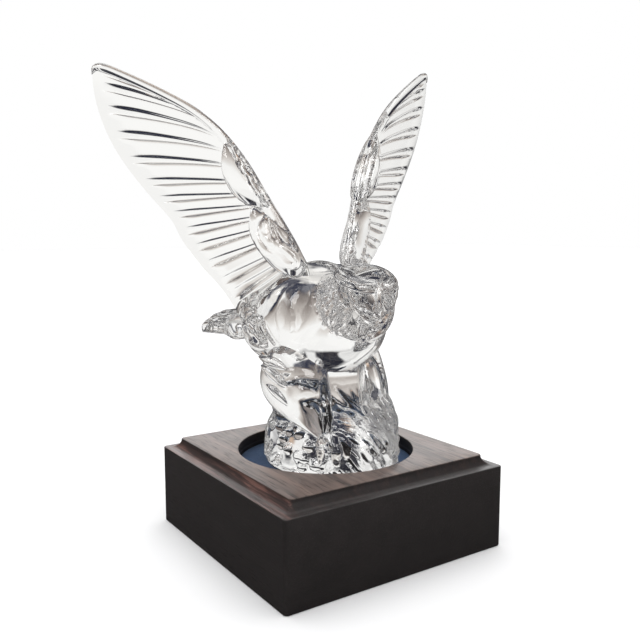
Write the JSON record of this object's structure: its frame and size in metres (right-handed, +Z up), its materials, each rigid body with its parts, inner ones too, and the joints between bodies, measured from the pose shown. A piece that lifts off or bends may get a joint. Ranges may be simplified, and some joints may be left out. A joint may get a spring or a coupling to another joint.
{
  "type": "crystal eagle figurine",
  "caption": "Clear crystal eagle with raised wings, perched on a rock that stands in the felt-lined round recess of a square dark wood plinth.",
  "frame": {"origin": "middle of the plinth's underside, on the surface it stands on", "axes": "+Z up; the eagle faces -Y, so +X is towards the eagle's own left wing; X and Y run along the plinth's sides"},
  "size_m": [0.2162, 0.194, 0.2767],
  "materials": {
    "dark_wood": "dark stained hardwood, satin lacquer",
    "navy_felt": "short-napped navy blue felt",
    "clear_crystal": "clear polished cast crystal"
  },
  "bodies": {
    "root": {"wooden_plinth": "dark_wood", "blue_felt_lining": "navy_felt", "crystal_eagle": "clear_crystal"}
  },
  "joints": []
}
